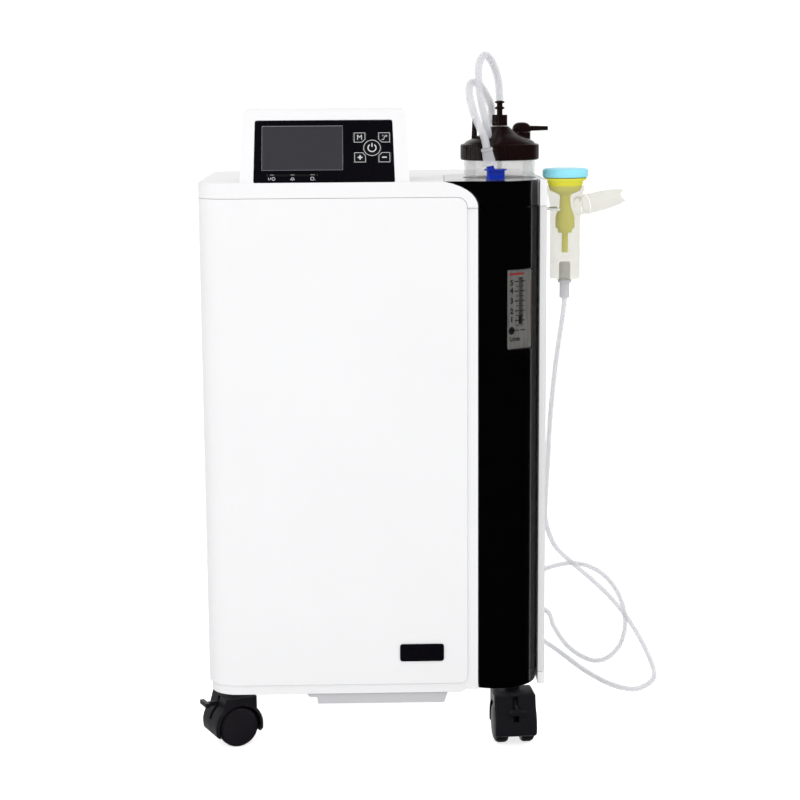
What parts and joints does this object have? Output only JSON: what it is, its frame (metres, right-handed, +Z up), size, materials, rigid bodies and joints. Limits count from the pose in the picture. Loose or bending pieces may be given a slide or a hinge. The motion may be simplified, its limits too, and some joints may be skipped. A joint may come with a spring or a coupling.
{
  "type": "oxygen concentrator",
  "caption": "Floor-standing oxygen concentrator: cabinet on casters with a control console, flowmeter column, bubble humidifier and a hose-fed nebulizer at its side.",
  "frame": {"origin": "middle of the footprint on the floor, without the free hoses", "axes": "+Z up, the front faces -Y, +X is the column's side"},
  "size_m": [0.5918, 0.4524, 0.8232],
  "materials": {
    "white_shell": "satin white moulded shell",
    "grey_duct": "plain light grey moulding",
    "black_column": "high-gloss black moulding",
    "console_glass": "polished black window",
    "black_plastic": "fine-grained black moulding",
    "lcd": "dark grey liquid-crystal screen",
    "buttons": "black keys with pale outlines",
    "clear_plastic": "clear moulding",
    "humidifier_cap": "dark brown moulding",
    "blue_outlet": "royal blue moulding",
    "flow_scale": "silver-grey scale with printed divisions",
    "hose": "clear soft vinyl",
    "frosted_plastic": "frosted translucent moulding",
    "yellow_insert": "translucent yellow moulding",
    "nebulizer_lid": "light blue moulding",
    "grey_connector": "grey moulding",
    "caster_wheel": "black nylon wheels",
    "steel": "zinc-plated sheet",
    "aluminium": "bare aluminium",
    "circuit_board": "green board",
    "filter_foam": "open-cell dark foam"
  },
  "bodies": {
    "cabinet": {"front_panel": "white_shell", "top_cover": "white_shell", "column_shell": "black_column", "column_deck": "black_column", "side_cover": "white_shell", "rear_cover": "white_shell", "base_tray": "white_shell", "exhaust_duct": "grey_duct", "badge": "console_glass", "air_filter": "filter_foam", "rear_handle": "black_plastic", "power_inlet": "black_plastic", "air_port": "black_plastic", "display_panel": "console_glass", "lcd_screen": "lcd", "status_lights": "black_plastic", "flowmeter_body": "flow_scale", "oxygen_outlet": "blue_outlet", "nebulizer_hose": "hose", "nebulizer_bracket": "white_shell", "inner_frame": "steel", "compressor": "aluminium", "sieve_bed_left": "aluminium", "sieve_bed_right": "aluminium", "oxygen_tank": "aluminium", "valve_block": "aluminium", "circuit_board": "circuit_board"},
    "filter_cover": {"filter_cover": "white_shell"},
    "rocker_switch": {"rocker_switch": "black_plastic"},
    "cooling_fan": {"cooling_fan": "black_plastic"},
    "flow_float": {"flow_float": "black_plastic"},
    "flow_knob": {"flow_knob": "black_plastic"},
    "humidifier": {"humidifier_bottle": "clear_plastic", "humidifier_cap": "humidifier_cap", "inlet_nut": "humidifier_cap", "diffuser_tube": "frosted_plastic", "humidifier_hose": "hose", "hose_cuff": "clear_plastic"},
    "outlet_elbow": {"outlet_elbow": "humidifier_cap"},
    "nebulizer": {"nebulizer_cup": "frosted_plastic", "nebulizer_core": "yellow_insert", "hose_connector": "grey_connector"},
    "nebulizer_lid": {"nebulizer_lid": "nebulizer_lid"},
    "mouthpiece": {"mouthpiece": "frosted_plastic"},
    "mode_button": {"mode_button": "buttons"},
    "timer_button": {"timer_button": "buttons"},
    "plus_button": {"plus_button": "buttons"},
    "minus_button": {"minus_button": "buttons"},
    "power_button": {"power_button": "buttons"},
    "caster_front_left": {"caster_front_left_housing": "black_plastic"},
    "caster_front_left_wheels": {"caster_front_left_wheels": "caster_wheel"},
    "caster_front_right": {"caster_front_right_housing": "black_plastic"},
    "caster_front_right_wheels": {"caster_front_right_wheels": "caster_wheel"},
    "caster_rear_left": {"caster_rear_left_housing": "black_plastic"},
    "caster_rear_left_wheels": {"caster_rear_left_wheels": "caster_wheel"},
    "caster_rear_right": {"caster_rear_right_housing": "black_plastic"},
    "caster_rear_right_wheels": {"caster_rear_right_wheels": "caster_wheel"},
    "caster_front_left_brake": {"caster_front_left_brake_lever": "black_plastic"},
    "caster_front_right_brake": {"caster_front_right_brake_lever": "black_plastic"}
  },
  "joints": [
    {"name": "caster_front_left_swivel", "type": "hinge", "parent": "cabinet", "child": "caster_front_left", "pos_m": [-0.2117, -0.1295, 0.0636], "axis": [0, 0, 1], "continuous": true},
    {"name": "caster_front_left_roll", "type": "hinge", "parent": "caster_front_left", "child": "caster_front_left_wheels", "pos_m": [-0.21895, -0.13288, 0.025], "axis": [0.4226, -0.9063, 0], "continuous": true},
    {"name": "caster_front_left_brake_tilt", "type": "hinge", "parent": "caster_front_left", "child": "caster_front_left_brake", "pos_m": [-0.23255, -0.13922, 0.052], "axis": [0.4226, -0.9063, 0], "range_deg": [0, 20]},
    {"name": "caster_front_right_swivel", "type": "hinge", "parent": "cabinet", "child": "caster_front_right", "pos_m": [0.1197, -0.1358, 0.0636], "axis": [0, 0, 1], "continuous": true},
    {"name": "caster_front_right_roll", "type": "hinge", "parent": "caster_front_right", "child": "caster_front_right_wheels", "pos_m": [0.12026, -0.14378, 0.025], "axis": [0.9976, 0.0698, 0], "continuous": true},
    {"name": "caster_front_right_brake_tilt", "type": "hinge", "parent": "caster_front_right", "child": "caster_front_right_brake", "pos_m": [0.1213, -0.15874, 0.052], "axis": [0.9976, 0.0698, 0], "range_deg": [-20, 0]},
    {"name": "caster_rear_left_swivel", "type": "hinge", "parent": "cabinet", "child": "caster_rear_left", "pos_m": [-0.2038, 0.0933, 0.0636], "axis": [0, 0, 1], "continuous": true},
    {"name": "caster_rear_left_roll", "type": "hinge", "parent": "caster_rear_left", "child": "caster_rear_left_wheels", "pos_m": [-0.20106, 0.10082, 0.025], "axis": [-0.9397, 0.342, 0], "continuous": true},
    {"name": "caster_rear_right_swivel", "type": "hinge", "parent": "cabinet", "child": "caster_rear_right", "pos_m": [0.1142, 0.0933, 0.0636], "axis": [0, 0, 1], "continuous": true},
    {"name": "caster_rear_right_roll", "type": "hinge", "parent": "caster_rear_right", "child": "caster_rear_right_wheels", "pos_m": [0.11146, 0.10082, 0.025], "axis": [-0.9397, -0.342, 0], "continuous": true},
    {"name": "mode_button_press", "type": "slide", "parent": "cabinet", "child": "mode_button", "axis": [0, 0.9018, -0.4321], "range_m": [0, 0.0005], "stiffness_N_per_m": 800},
    {"name": "timer_button_press", "type": "slide", "parent": "cabinet", "child": "timer_button", "axis": [0, 0.9018, -0.4321], "range_m": [0, 0.0005], "stiffness_N_per_m": 800},
    {"name": "plus_button_press", "type": "slide", "parent": "cabinet", "child": "plus_button", "axis": [0, 0.9018, -0.4321], "range_m": [0, 0.0005], "stiffness_N_per_m": 800},
    {"name": "minus_button_press", "type": "slide", "parent": "cabinet", "child": "minus_button", "axis": [0, 0.9018, -0.4321], "range_m": [0, 0.0005], "stiffness_N_per_m": 800},
    {"name": "power_button_press", "type": "slide", "parent": "cabinet", "child": "power_button", "axis": [0, 0.9018, -0.4321], "range_m": [0, 0.0005], "stiffness_N_per_m": 800},
    {"name": "rocker_tilt", "type": "hinge", "parent": "cabinet", "child": "rocker_switch", "pos_m": [0.0242, 0.1383, 0.15], "axis": [1, 0, 0], "range_deg": [0, 12]},
    {"name": "flow_knob_turn", "type": "hinge", "parent": "cabinet", "child": "flow_knob", "pos_m": [0.11578, -0.16573, 0.50365], "axis": [-0.5678, 0.8231, 0], "range_deg": [-135, 135]},
    {"name": "flow_float_rise", "type": "slide", "parent": "cabinet", "child": "flow_float", "axis": [0, 0, 1], "range_m": [0, 0.043]},
    {"name": "humidifier_lift", "type": "slide", "parent": "cabinet", "child": "humidifier", "axis": [0, 0, 1], "range_m": [0, 0.16]},
    {"name": "outlet_elbow_turn", "type": "hinge", "parent": "humidifier", "child": "outlet_elbow", "pos_m": [0.1352, -0.0577, 0.7292], "axis": [0, 0, 1], "range_deg": [-70, 70]},
    {"name": "nebulizer_lift", "type": "slide", "parent": "cabinet", "child": "nebulizer", "axis": [0, 0, 1], "range_m": [0, 0.03]},
    {"name": "nebulizer_lid_turn", "type": "hinge", "parent": "nebulizer", "child": "nebulizer_lid", "pos_m": [0.1867, -0.0707, 0.676], "axis": [0, 0, 1], "range_deg": [0, 90]},
    {"name": "mouthpiece_turn", "type": "hinge", "parent": "nebulizer", "child": "mouthpiece", "pos_m": [0.21191, -0.08525, 0.64476], "axis": [0.8403, -0.4851, 0.2419], "range_deg": [-90, 90]},
    {"name": "filter_cover_swing", "type": "hinge", "parent": "cabinet", "child": "filter_cover", "pos_m": [-0.2039, 0.1422, 0.47], "axis": [0, 0, 1], "range_deg": [0, 110]},
    {"name": "cooling_fan_spin", "type": "hinge", "parent": "cabinet", "child": "cooling_fan", "pos_m": [-0.1578, -0.0107, 0.281], "axis": [0, 0, 1], "continuous": true}
  ]
}
